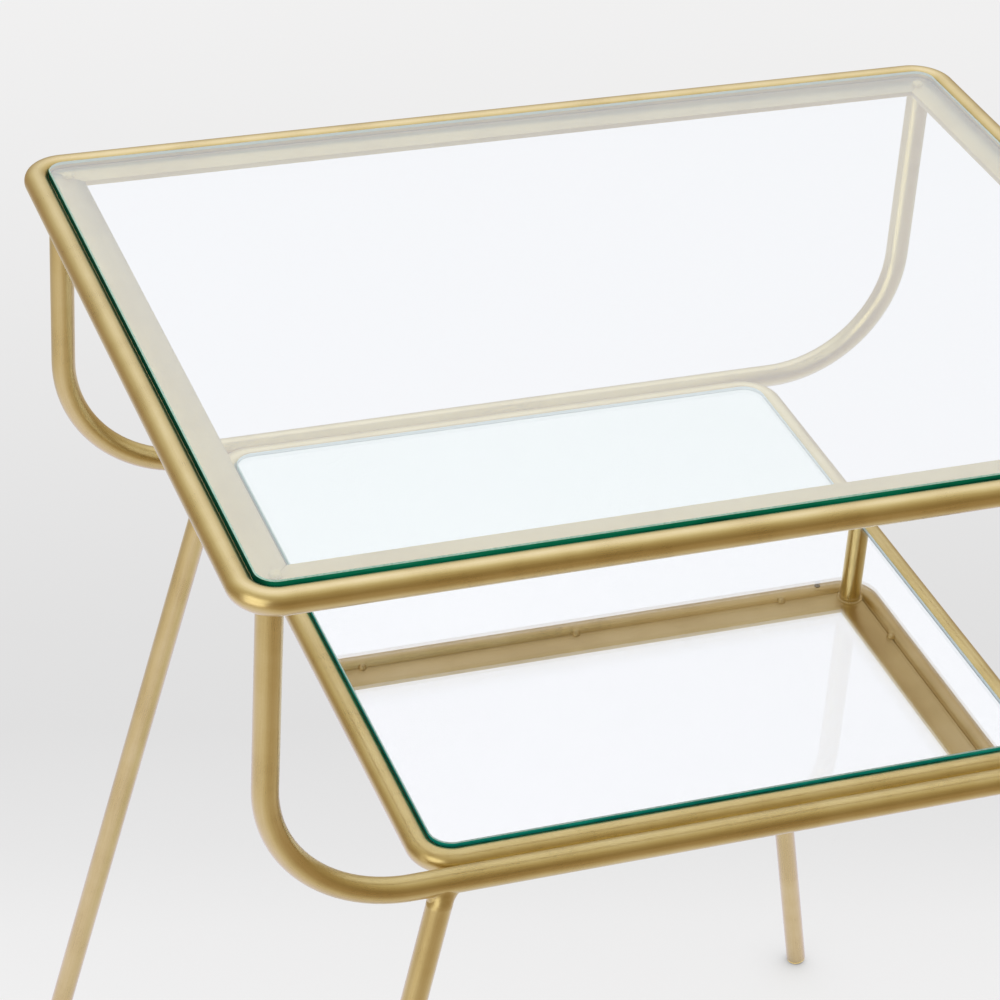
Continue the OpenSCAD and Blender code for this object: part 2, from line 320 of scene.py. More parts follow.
# What the ground edges of both sheets share
edgeLook = {
    "grind": (60.0, 60.0, 2200.0),  # the scale of the grinding lines along X, Y and Z
    "driftScale": 14.0,
    "rough": 0.4,
    "chipScale": 900.0,
    "chipRough": 0.2,
    "roughSwing": 0.2,
}


# The ground edge of a sheet: deep green or teal, lighter towards its top, with faint lines along it; its left
# and right sides carry painted shade, its inner side a pale painted light where it shows through the sheet,
# and it gives off a painted glow
def makeGlassEdge(name, node, look):
    dark = look["edgeDark"]
    material, pen = startMaterial(name)
    place = objectPlace(pen)
    low, high = span(node, 2)
    height = pen.split(place)["Z"]
    level = pen.node("ShaderNodeMapRange", {"Value": height, "From Min": low, "From Max": high})
    face = pen.split(pen.node("ShaderNodeNewGeometry", out="Normal"))
    # painted shade: the edges that face left and right go towards the dark colour
    shadedSides = pen.math("ABSOLUTE", face["X"]).between(0.35, 0.95)
    grind = pen.noise(pen.stretch(place, edgeLook["grind"]), 1.0, 2.0, 0.6)
    drift = pen.noise(place, edgeLook["driftScale"], 2.0, 0.5)
    tone = level.between(0.15, 1.0) * 0.45 + drift.between(0.3, 0.7) * 0.25 + grind.between(0.3, 0.7) * 0.3
    shaded = tone.between(0.1, 0.6).mix(dark, look["edgeMid"])
    lively = tone.between(0.55, 1.0).mix(shaded, look["edgeLight"])
    # painted light: seen from inside the sheet the edge takes a pale colour
    inside = pen.node("ShaderNodeNewGeometry", out="Backfacing")
    colour = inside.mix((shadedSides * look["sideDark"]).mix(lively, dark), look["edgeInside"])
    # the edge glows with its own colour, painted light in place of what real edges gather
    addShader(pen, {"Base Color": colour, "Roughness": grind * edgeLook["roughSwing"] + edgeLook["rough"],
                    "IOR": 1.5, "Specular IOR Level": 0.05, "Emission Color": colour,
                    "Emission Strength": look["edgeGlow"]})
    return material


# The narrow ground slope between a face and the edge, with fine chips in it
def makeArris(name, look):
    material, pen = startMaterial(name)
    chip = pen.noise(objectPlace(pen), edgeLook["chipScale"], 2.0, 0.6)
    addShader(pen, {"Base Color": chip.between(0.3, 0.7).mix(look["arrisDeep"], look["arrisPale"]),
                    "Roughness": chip * edgeLook["roughSwing"] + edgeLook["chipRough"], "IOR": 1.5,
                    "Coat Weight": 0.6, "Coat Roughness": 0.12})
    return material


mirrorLook = {
    "silver": (0.986, 0.973, 0.985, 1),
    "silverWarm": (0.976, 0.963, 0.975, 1),
    "silverScale": 6.0,
    "tint": (0.975, 0.995, 0.990, 1),
    "tintPale": (0.985, 1.0, 0.995, 1),
    "filmIor": 2.1,
    "smearScale": 11.0,
    "arris": 0.0005,
    "lowArris": 0.00015,
    "wider": 0.0004,
    "gapToBacking": 0.00002,
    "edgeDark": (0.0010, 0.0900, 0.0700, 1),
    "edgeMid": (0.0040, 0.1900, 0.1450, 1),
    "edgeLight": (0.0300, 0.2800, 0.2300, 1),
    # painted light: the edge's inner side is painted pale where it shows through the sheet
    "edgeInside": (0.560, 0.680, 0.720, 1),
    "arrisPale": (0.560, 0.780, 0.820, 1),
    "arrisDeep": (0.400, 0.640, 0.680, 1),
    # painted shade on the left and right edges
    "sideDark": 0.35,
    # a painted glow that the edge gives off, in place of the light that real edges gather
    "edgeGlow": 0.55,
    # the back's paint, its patches and its orange-peel skin
    "paint": (0.160, 0.170, 0.180, 1),
    "paintLight": (0.210, 0.220, 0.230, 1),
    "patchScale": 30.0,
    "peelScale": 900.0,
    "peelDepth": 0.0002,
}


def makeMirrorFace():
    material, pen = startMaterial("mirrorFace")
    smear = pen.noise(pen.stretch(objectPlace(pen), (0.5, 1.0, 1.0)), mirrorLook["smearScale"], 3.0, 0.5)
    addShader(pen, {"Base Color": smear.between(0.3, 0.7).mix(mirrorLook["tint"], mirrorLook["tintPale"]),
                    "Roughness": 0.0, "IOR": 1.5, "Transmission Weight": 1.0,
                    "Coat Weight": 1.0, "Coat IOR": mirrorLook["filmIor"], "Coat Roughness": 0.0})
    return material


def makeSilver():
    material, pen = startMaterial("silverLayer")
    drift = pen.noise(objectPlace(pen), mirrorLook["silverScale"], 2.0, 0.5)
    addShader(pen, {"Base Color": drift.between(0.3, 0.7).mix(mirrorLook["silver"], mirrorLook["silverWarm"]),
                    "Metallic": 1.0, "Roughness": 0.0})
    return material


def makePaint():
    material, pen = startMaterial("mirrorPaint")
    place = objectPlace(pen)
    patch = pen.noise(place, mirrorLook["patchScale"], 3.0, 0.6)
    peel = pen.noise(place, mirrorLook["peelScale"], 2.0, 0.5)
    addShader(pen, {"Base Color": patch.between(0.3, 0.7).mix(mirrorLook["paint"], mirrorLook["paintLight"]),
                    "Roughness": patch * 0.2 + 0.45, "Normal": peel.bump(0.15, mirrorLook["peelDepth"])})
    return material


plasticLook = {
    "tint": (0.84, 0.70, 0.36, 1),
    "tintDeep": (0.78, 0.64, 0.30, 1),
    "hazeScale": 500.0,
    "rough": 0.18,
    "roughSwing": 0.16,
    "clear": 0.20,
    # a painted glow, in place of the light that clear plastic gathers
    "glow": 0.22,
}


# Clear plastic painted with the colour of the brass behind it, which gives off a painted glow in place of the
# light that it gathers
def makePlastic():
    material, pen = startMaterial("clearPlastic")
    haze = pen.noise(objectPlace(pen), plasticLook["hazeScale"], 3.0, 0.6)
    addShader(pen, {"Base Color": haze.between(0.3, 0.7).mix(plasticLook["tintDeep"], plasticLook["tint"]),
                    "Roughness": haze * plasticLook["roughSwing"] + plasticLook["rough"], "IOR": 1.46,
                    "Specular IOR Level": 0.1, "Transmission Weight": plasticLook["clear"],
                    "Emission Color": plasticLook["tintDeep"], "Emission Strength": plasticLook["glow"]})
    return material


glassFace = makeGlassFace("glassFace", True)
glassUnder = makeGlassFace("glassUnder", False)
glassEdge = makeGlassEdge("glassEdge", "top_glass", glassLook)
glassArris = makeArris("glassArris", glassLook)
mirrorFace = makeMirrorFace()
mirrorEdge = makeGlassEdge("mirrorEdge", "shelf_mirror", mirrorLook)
mirrorArris = makeArris("mirrorArris", mirrorLook)
silverLayer = makeSilver()
mirrorPaint = makePaint()
clearPlastic = makePlastic()
print("glass, mirror and plastic ready")


# A new piece at the origin, whose place is in its mesh
def newPiece(name, points=(), edges=(), faces=()):
    mesh = bpy.data.meshes.new(name)
    mesh.from_pydata([tuple(p) for p in points], list(edges), list(faces))
    piece = bpy.data.objects.new(name, mesh)
    sceneNow.collection.objects.link(piece)
    return piece


# Faces that join rings of points, listed one ring after another, each anticlockwise as seen from the last
def ringFaces(rings, count):
    faces = []
    for ring in range(rings - 1):
        here = ring * count
        following = here + count
        for i in range(count):
            j = (i + 1) % count
            faces.append((here + i, here + j, following + j, following + i))
    return faces


# The mesh that a piece's modifiers make becomes its own mesh
def settle(piece):
    bpy.context.view_layer.update()
    graph = bpy.context.evaluated_depsgraph_get()
    mesh = bpy.data.meshes.new_from_object(piece.evaluated_get(graph), preserve_all_data_layers=True,
                                           depsgraph=graph)
    piece.modifiers.clear()
    piece.data = mesh
    mesh.name = piece.name
    return piece


# Opens a piece's mesh for editing
def unpack(piece):
    shape = bmesh.new()
    shape.from_mesh(piece.data)
    return shape


# Writes an edited shape to a piece
def pack(shape, piece):
    shape.to_mesh(piece.data)
    shape.free()
    return piece


# Faces point outwards
def turnOut(piece):
    shape = unpack(piece)
    bmesh.ops.recalc_face_normals(shape, faces=shape.faces)
    return pack(shape, piece)


# Smooth faces, with a hard line wherever two of them meet at more than this many degrees
def smooth(piece, degrees=35.0):
    shape = unpack(piece)
    for face in shape.faces:
        face.smooth = True
    for edge in shape.edges:
        edge.smooth = not (len(edge.link_faces) == 2 and edge.calc_face_angle() > math.radians(degrees))
    return pack(shape, piece)


# The body that carries a piece, and the node that it stands for, whose part is hidden
def put(piece, body, node):
    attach(piece, body)
    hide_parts(node)


def startTree(name, inputs):
    tree = bpy.data.node_groups.new(name, "GeometryNodeTree")
    tree.interface.new_socket("Start", in_out="INPUT", socket_type="NodeSocketGeometry")
    tree.interface.new_socket("Mesh", in_out="OUTPUT", socket_type="NodeSocketGeometry")
    for label, kind in inputs.items():
        tree.interface.new_socket(label, in_out="INPUT", socket_type="NodeSocket" + kind)
    pen = Wire(tree)
    return tree, pen, pen.node("NodeGroupInput")


def endTree(pen, shape, finish):
    real = pen.node("GeometryNodeRealizeInstances", {"Geometry": shape})
    soft = pen.node("GeometryNodeSetShadeSmooth", {"Geometry": real, "Shade Smooth": True})
    done = pen.node("GeometryNodeSetMaterial", {"Geometry": soft, "Material": finish})
    pen.node("NodeGroupOutput", {"Mesh": done})


# Runs a tree on a piece with these values for its named inputs
def grow(piece, tree, values):
    modifier = piece.modifiers.new(tree.name, "NODES")
    modifier.node_group = tree
    for item in tree.interface.items_tree:
        if item.item_type == "SOCKET" and item.in_out == "INPUT" and item.name in values:
            modifier[item.identifier] = values[item.name]
    return settle(piece)


# Sweeps a round section along a path; the UV map holds the length in metres and the turn round the tube
def makeTubeTree():
    tree, pen, start = startTree("tubeAlongPath", {"Radius": "Float", "Sides": "Int", "Finish": "Material"})
    path = pen.node("GeometryNodeMeshToCurve", {"Mesh": start["Start"]})
    along = pen.node("GeometryNodeSplineParameter", out="Length")
    path = pen.node("GeometryNodeStoreNamedAttribute", {"Geometry": path, "Name": "along", "Value": along},
                    data_type="FLOAT", domain="POINT")
    ring = pen.node("GeometryNodeCurveArc", {"Resolution": start["Sides"] + 1, "Radius": start["Radius"],
                                             "Sweep Angle": 2 * math.pi}, mode="RADIUS")
    around = pen.node("GeometryNodeSplineParameter", out="Factor")
    ring = pen.node("GeometryNodeStoreNamedAttribute", {"Geometry": ring, "Name": "around", "Value": around},
                    data_type="FLOAT", domain="POINT")
    skin = pen.node("GeometryNodeCurveToMesh", {"Curve": path, "Profile Curve": ring})
    u = pen.node("GeometryNodeInputNamedAttribute", {"Name": "along"}, data_type="FLOAT")
    v = pen.node("GeometryNodeInputNamedAttribute", {"Name": "around"}, data_type="FLOAT")
    mapped = pen.node("GeometryNodeStoreNamedAttribute",
                      {"Geometry": skin, "Name": "UVMap", "Value": pen.vector(u, v, 0.0)},
                      data_type="FLOAT2", domain="CORNER")
    for helper in ("along", "around"):
        mapped = pen.node("GeometryNodeRemoveAttribute", {"Geometry": mapped, "Name": helper})
    closed = pen.node("GeometryNodeMergeByDistance", {"Geometry": mapped, "Distance": 1e-6})
    endTree(pen, closed, start["Finish"])
    return tree


tubeTree = makeTubeTree()
tubeLook = {
    "wall": 0.0012,
    "sides": 64,
    "loopBend": 0.016,
    "hoopBend": 0.073,
    "bendSteps": 24,
    "drainRadius": 0.002,
    "drainAt": 0.231,  # from the middle of the back rail, to both sides
    "drainSides": 32,
}


# The corners of a path become quarter bends
def bentPath(corners, radius):
    points = [Vector(corners[0])]
    steps = tubeLook["bendSteps"]
    for before, corner, after in zip(corners, corners[1:], corners[2:]):
        corner = Vector(corner)
        back = (Vector(before) - corner).normalized()
        on = (Vector(after) - corner).normalized()
        centre = corner + (back + on) * radius
        for step in range(steps + 1):
            angle = math.pi / 2 * step / steps
            points.append(centre - on * (radius * math.cos(angle)) - back * (radius * math.sin(angle)))
    points.append(Vector(corners[-1]))
    return points


def tubePiece(name, points):
    piece = newPiece(name, points, [(i, i + 1) for i in range(len(points) - 1)])
    grow(piece, tubeTree, {"Radius": tubeR, "Sides": tubeLook["sides"], "Finish": tubeBrass})
    wall = turnOut(piece).modifiers.new("wall", "SOLIDIFY")
    wall.thickness = tubeLook["wall"]
    wall.offset = -1
    return smooth(settle(piece))


# A round bar and a block that are only used to cut with
def roundCutter(start, end, radius, sides):
    axis = Vector(end) - Vector(start)
    middle = (Vector(start) + Vector(end)) / 2
    shape = bmesh.new()
    bmesh.ops.create_cone(shape, cap_ends=True, segments=sides, radius1=radius, radius2=radius,
                          depth=axis.length)
    shape.transform(Matrix.Translation(middle) @ axis.to_track_quat("Z", "Y").to_matrix().to_4x4())
    return pack(shape, newPiece("cutter"))


def blockCutter(low, high):
    shape = bmesh.new()
    place = Matrix.Translation((high + low) / 2) @ Matrix.Diagonal((*(high - low), 1))
    bmesh.ops.create_cube(shape, size=1.0, matrix=place)
    return pack(shape, newPiece("cutter"))


def cut(piece, tools):
    for tool in tools:
        step = piece.modifiers.new("cut", "BOOLEAN")
        step.operation = "DIFFERENCE"
        step.solver = "EXACT"
        step.object = tool
    settle(piece)
    for tool in tools:
        bpy.data.objects.remove(tool)
    return smooth(piece)


# A loop starts and ends in the middle of its back side
def loopPath(halfX, halfY, z):
    corners = [(0, halfY, z), (-halfX, halfY, z), (-halfX, -halfY, z), (halfX, -halfY, z), (halfX, halfY, z),
               (0, halfY, z)]
    return bentPath(corners, tubeLook["loopBend"])


topRail = tubePiece("topRail", loopPath(topHalfX, topHalfY, railZ))
drains = []
for side in (-1, 1):
    x = side * tubeLook["drainAt"]
    drains.append(roundCutter((x, topHalfY, railZ - 2 * tubeR), (x, topHalfY, railZ),
                              tubeLook["drainRadius"], tubeLook["drainSides"]))
put(cut(topRail, drains), "frame", "top_rail")
shelfRail = tubePiece("shelfRail", loopPath(shelfHalfX, shelfHalfY, runZ))
put(shelfRail, "frame", "shelf_rail")


def hoopPath(y):
    corners = [(-hoopHalfX, y, hoopEnd), (-hoopHalfX, y, runZ), (hoopHalfX, y, runZ), (hoopHalfX, y, hoopEnd)]
    return bentPath(corners, tubeLook["hoopBend"])


for hoopName, hoopNode, side in (("frontHoop", "front_hoop", -1), ("backHoop", "back_hoop", 1)):
    put(tubePiece(hoopName, hoopPath(side * hoopHalfY)), "frame", hoopNode)
print("loops and hoops ready")

legLook = {
    # a leg's top against the end and the middle of the hoop's run, and its foot against the top loop
    "inset": 0.088,
    "out": 0.002,
    "footOutX": 0.006,
    "footOutY": 0.027,
    # the tube's upper end, in tube radii under the middle of the run
    "weldLevel": 1.6,
}
glideLook = {
    "domeRadius": 0.014,
    "rimThickness": 0.0014,
    "rimStep": 0.00025,
    "rimEase": 0.0002,
    "plugLength": 0.016,
    "plugGap": 0.00005,
    # the plug's tip, as shares of its radius: how wide it is, and how far up the taper runs
    "tipWidth": 0.85,
    "tipTaper": 0.25,
    "sides": 48,
    "domeSteps": 14,
}
legCorners = {
    "frontLeft": ("front_left", -1, -1),
    "frontRight": ("front_right", 1, -1),
    "backLeft": ("back_left", -1, 1),
    "backRight": ("back_right", 1, 1),
}


# The middles of a leg's two ends: on the hoop's run, and on the floor
def legEnds(sideX, sideY):
    top = Vector((sideX * (hoopHalfX - legLook["inset"]), sideY * (hoopHalfY + legLook["out"]), runZ))
    foot = Vector((sideX * (topHalfX + legLook["footOutX"]), sideY * (topHalfY + legLook["footOutY"]), 0))
    return top, foot


def makeLeg(name, node, top, end):
    leg = tubePiece(name, [top, end])
    # the tube ends level, just under the hoop, where its weld starts
    weldZ = runZ - legLook["weldLevel"] * tubeR
    room = 4 * tubeR
    cut(leg, [blockCutter(Vector((top.x - room, top.y - room, weldZ)),
                          Vector((top.x + room, top.y + room, weldZ + 6 * tubeR)))])
    put(leg, "frame", node)


# Turns an outline of (radius, length along the axis) round an axis, on which it starts and ends
def lathePiece(name, outline, start, axis, sides):
    turns = [2 * math.pi * i / sides for i in range(sides)]
    points = [(radius * math.cos(turn), radius * math.sin(turn), along)
              for radius, along in outline[1:-1] for turn in turns]
    faces = ringFaces(len(outline) - 2, sides)
    firstPole = len(points)
    lastRing = firstPole - sides
    for i in range(sides):
        j = (i + 1) % sides
        faces += [(j, i, firstPole), (lastRing + i, lastRing + j, firstPole + 1)]
    points += [(0, 0, outline[0][1]), (0, 0, outline[-1][1])]
    piece = newPiece(name, points, faces=faces)
    piece.data.transform(Matrix.Translation(start) @ axis.to_track_quat("Z", "Y").to_matrix().to_4x4())
    return smooth(piece)


# A plug in the tube, a rim that closes on the tube's end, and a dome to stand on
def makeGlide(name, node, rimRadius, legEnd, axis, domeMiddle):
    plug = tubeR - tubeLook["wall"] - glideLook["plugGap"]
    tip = -glideLook["plugLength"]
    ease = glideLook["rimEase"]
    outline = [(0, tip), (plug * glideLook["tipWidth"], tip), (plug, plug * glideLook["tipTaper"] + tip),
               (plug, 0), (rimRadius - ease, 0), (rimRadius, ease), (rimRadius, glideLook["rimThickness"])]
    domeRadius = glideLook["domeRadius"]
    domeBase = (domeMiddle - legEnd).dot(axis)
    for step in range(1, glideLook["domeSteps"] + 1):
        angle = math.asin(rimRadius / domeRadius) * (1 - step / glideLook["domeSteps"])
        outline.append((domeRadius * math.sin(angle), domeBase + domeRadius * math.cos(angle)))
    glide = lathePiece(name, outline, legEnd, axis, glideLook["sides"])
    glide.data.materials.append(clearPlastic)
    put(glide, "frame", node)


for cornerName, (nodeStem, sideX, sideY) in legCorners.items():
    top, foot = legEnds(sideX, sideY)
    axis = (foot - top).normalized()
    domeMiddle = foot + axis * (glideLook["domeRadius"] / axis.z)
    rimRadius = tubeR - glideLook["rimStep"]
    domeEdge = math.sqrt(glideLook["domeRadius"] ** 2 - rimRadius ** 2)
    legEnd = top + axis * ((domeMiddle - top).length + domeEdge - glideLook["rimThickness"])
    makeLeg(cornerName + "Leg", nodeStem + "_leg", top, legEnd)
    makeGlide(cornerName + "Glide", nodeStem + "_glide", rimRadius, legEnd, axis, domeMiddle)
print("legs and glides ready")

barLook = {"ease": 0.00035, "easeSteps": 2}


# A ledge bar is the frame's own solid with its edges eased
def easedBar(name, node, finish):
    shape = unpack(frame["nodes"][node])
    bmesh.ops.remove_doubles(shape, verts=shape.verts, dist=1e-6)
    bmesh.ops.dissolve_limit(shape, angle_limit=math.radians(0.5), verts=shape.verts, edges=shape.edges)
    bmesh.ops.recalc_face_normals(shape, faces=shape.faces)
    for face in shape.faces:
        face.smooth = True
        face.material_index = 0
    piece = pack(shape, newPiece(name))
    piece.data.materials.append(finish)
    ease = piece.modifiers.new("ease", "BEVEL")
    ease.width = barLook["ease"]
    ease.segments = barLook["easeSteps"]
    ease.limit_method = "ANGLE"
    ease.angle_limit = math.radians(40)
    ease.harden_normals = True
    put(settle(piece), "frame", node)


barFinishes = {"front": barBrassX, "back": barBrassX, "left": barBrassY, "right": barBrassY}
for tier in ("top", "shelf"):
    for side, finish in barFinishes.items():
        easedBar(tier + "Ledge" + side.capitalize(), tier + "_ledge_" + side, finish)
print("ledges ready")

# Each weld's drops: their radius, shape, how much they vary in size, and how finely they are made
tackLook = {
    "radius": 0.0026,
    "shape": (1.0, 1.0, 1.0),
    "swell": 0.06,
    "seed": 7,
    "detail": 4,
    # how many along each side, and how far apart
    "top": {"alongX": (4, 0.136), "alongY": (3, 0.148)},
    "shelf": {"alongX": (3, 0.090), "alongY": (3, 0.090)},
}
beadLook = {
    "radius": 0.0013,
    "shape": (1.0, 1.0, 0.75),
    "swell": 0.05,
    "seed": 11,
    "detail": 3,
    "count": 26,
    "ringOut": 0.0005,  # how far the ring of drops stands off the tube
}
seamLook = {
    "radius": 0.0021,
    "shape": (0.8, 1.0, 0.8),
    "swell": 0.05,
    "seed": 3,
    "detail": 3,
    "pitch": 0.0014,
    "length": 0.022,
    "count": 3,
    "spacing": 0.110,
    "level": 0.7,  # in tube radii under the middle of the tubes
}


# Round drops of weld metal on points, each swollen a little on its own
def makeWeldTree():
    tree, pen, start = startTree("weldDrops", {"Radius": "Float", "Shape": "Vector", "Swell": "Float",
                                               "Seed": "Int", "Detail": "Int", "Finish": "Material"})
    ball = pen.node("GeometryNodeMeshIcoSphere", {"Radius": start["Radius"], "Subdivisions": start["Detail"]})
    points = pen.node("GeometryNodeMeshToPoints", {"Mesh": start["Start"]})
    size = pen.node("FunctionNodeRandomValue", {2: 1.0 - start["Swell"], 3: 1.0 + start["Swell"],
                                                "Seed": start["Seed"]}, out=1, data_type="FLOAT")
    scale = pen.node("ShaderNodeVectorMath", {0: start["Shape"], "Scale": size}, operation="SCALE")
    drops = pen.node("GeometryNodeInstanceOnPoints", {"Points": points, "Instance": ball, "Scale": scale})
    endTree(pen, drops, start["Finish"])
    return tree


weldTree = makeWeldTree()


def weldPiece(name, node, points, look):
    piece = newPiece(name, points)
    grow(piece, weldTree, {"Radius": look["radius"], "Shape": look["shape"], "Swell": look["swell"],
                           "Seed": look["seed"], "Detail": look["detail"], "Finish": weldBrass})
    put(piece, "frame", node)


# Places along a line, evenly spaced about its middle
def spread(count, pitch):
    return [(i - (count - 1) / 2) * pitch for i in range(count)]


def tackPoints(tier):
    outX = span(tier + "_ledge_right", 0)[1]
    outY = -span(tier + "_ledge_front", 1)[0]
    under = span(tier + "_ledge_front", 2)[0]
    rows = tackLook[tier]
    points = [(x, side * outY, under) for side in (-1, 1) for x in spread(*rows["alongX"])]
    return points + [(side * outX, y, under) for side in (-1, 1) for y in spread(*rows["alongY"])]


# Rings round the tops of the hoops' uprights, under the ledge
def beadPoints():
    points = []
    under = span("top_ledge_front", 2)[0]
    reach = tubeR + beadLook["ringOut"]
    for sideX in (-1, 1):
        for sideY in (-1, 1):
            for i in range(beadLook["count"]):
                angle = 2 * math.pi * i / beadLook["count"]
                points.append((sideX * hoopHalfX + reach * math.cos(angle),
                               sideY * hoopHalfY + reach * math.sin(angle), under))
    return points


# Lines in the groove between each hoop's run and the shelf loop
def seamPoints():
    points = []
    steps = int(seamLook["length"] / seamLook["pitch"]) + 1
    for side in (-1, 1):
        for centre in spread(seamLook["count"], seamLook["spacing"]):
            for x in spread(steps, seamLook["pitch"]):
                points.append((centre + x, side * (hoopHalfY + shelfHalfY) / 2,
                               runZ - seamLook["level"] * tubeR))
    return points


for tier in ("top", "shelf"):
    weldPiece(tier + "LedgeTacks", tier + "_ledge_tacks", tackPoints(tier), tackLook)
weldPiece("hoopEndBeads", "hoop_end_beads", beadPoints(), beadLook)
weldPiece("shelfSeams", "shelf_seams", seamPoints(), seamLook)
print("welds ready")

bumperLook = {
    "radius": 0.003,
    "inset": 0.0098,
    "sides": 40,
    "wallRings": 6,
    "topRings": 8,
    "taper": 0.22,  # how much narrower the top is than the base, as a share of the radius
    "dome": 0.16,  # how far the rim falls below the middle, as a share of the height
}


def makeBumperTree():
    tree, pen, start = startTree("bumpersOnPoints", {"Radius": "Float", "Height": "Float", "Sides": "Int",
                                                     "Finish": "Material"})
    pad = pen.node("GeometryNodeMeshCylinder",
                   {"Vertices": start["Sides"], "Side Segments": bumperLook["wallRings"],
                    "Fill Segments": bumperLook["topRings"], "Radius": start["Radius"],
                    "Depth": start["Height"]})
    parts = pen.split(pen.node("GeometryNodeInputPosition"))
    share = (parts["Z"] + start["Height"] * 0.5) / start["Height"]
    reach = pen.fromMiddle(parts) / start["Radius"]
    pull = 1.0 - share * share * share * bumperLook["taper"]
    crown = share * (1.0 - reach * reach * bumperLook["dome"]) * start["Height"]
    lifted = pen.vector(parts["X"] * pull, parts["Y"] * pull, crown)
    domed = pen.node("GeometryNodeSetPosition", {"Geometry": pad, "Position": lifted})
    points = pen.node("GeometryNodeMeshToPoints", {"Mesh": start["Start"]})
    onPoints = pen.node("GeometryNodeInstanceOnPoints", {"Points": points, "Instance": domed})
    endTree(pen, onPoints, start["Finish"])
    return tree


bumperTree = makeBumperTree()
for tier in ("top", "shelf"):
    barTop = span(tier + "_ledge_front", 2)[1]
    outX = span(tier + "_ledge_right", 0)[1] - bumperLook["inset"]
    outY = span(tier + "_ledge_back", 1)[1] - bumperLook["inset"]
    low, high = span(tier + "_bumpers", 2)
    pads = newPiece(tier + "Bumpers", [(sideX * outX, sideY * outY, barTop)
                                       for sideX in (-1, 1) for sideY in (-1, 1)])
    grow(pads, bumperTree, {"Radius": bumperLook["radius"], "Height": high - low,
                            "Sides": bumperLook["sides"], "Finish": clearPlastic})
    put(pads, "frame", tier + "_bumpers")
print("bumpers ready")


def roundedOutline(halfX, halfY, radius, steps=16):
    points = []
    x, y = halfX - radius, halfY - radius
    for middleX, middleY, first in ((x, y, 0), (-x, y, 90), (-x, -y, 180), (x, -y, 270)):
        for step in range(steps + 1):
            angle = math.radians(first + 90 * step / steps)
            points.append((middleX + radius * math.cos(angle), middleY + radius * math.sin(angle)))
    return points


# A sheet with an arris round both faces; its finishes are for the top, the edge, the arrises and the bottom
def sheetPiece(name, node, loopHalfX, look, lift, finishes):
    arris, lowArris = look["arris"], look["lowArris"]
    low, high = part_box(node)
    halfX, halfY = high.x + look["wider"], high.y + look["wider"]
    radius = tubeLook["loopBend"] - (loopHalfX - halfX)
    levels = ((low.z + lift, lowArris), (low.z + lift + lowArris, 0), (high.z - arris, 0), (high.z, arris))
    points = []
    for level, step in levels:
        points += [(x, y, level) for x, y in roundedOutline(halfX - step, halfY - step, radius - step)]
    count = len(points) // len(levels)
    faces = ringFaces(len(levels), count)
    faces += [tuple(range(3 * count, 4 * count)), tuple(reversed(range(count)))]
    finishOf = [2] * count + [1] * count + [2] * count + [0, 3]
    piece = newPiece(name, points, faces=faces)
    for finish in finishes:
        piece.data.materials.append(finish)
    for face, index in zip(piece.data.polygons, finishOf):
        face.material_index = index
    return smooth(piece)


topGlass = sheetPiece("topGlass", "top_glass", topHalfX, glassLook, 0,
                      (glassFace, glassEdge, glassArris, glassUnder))
put(topGlass, "top_glass", "top_glass")
shelfMirror = sheetPiece("shelfMirror", "shelf_mirror", shelfHalfX, mirrorLook, mirrorLook["gapToBacking"],
                         (mirrorFace, mirrorEdge, mirrorArris, silverLayer))
put(shelfMirror, "shelf_mirror", "shelf_mirror")
backing = frame["nodes"]["mirror_backing"]
backing.data.materials.clear()
backing.data.materials.append(mirrorPaint)
print("glass and mirror ready")

# The dressed welds that blend each leg into the hoop above it
blendLook = {
    # how far the skin spreads on the hoop, on the leg's inner and outer side
    "inner": 0.0036,
    "outer": 0.0005,
    # how far its edges sink into the metal, how far it stands off the leg, and how far down it laps the tube
    "sink": 0.0009,
    "proud": 0.00002,
    "overlap": 0.0001,
    "innerDrop": 0.5,  # how much lower the inner side starts, as a share of its spread
    "lean": 80.0,  # degrees round the hoop that the skin's sides reach
    "full": 0.9,  # how far the sides run on along the leg
    # the length of the curve's handles, as a share of the way, and how much shorter one is at the sides
    "pull": 0.4,
    "sideSlack": 0.4,
    "rings": 96,
    "steps": 14,
}


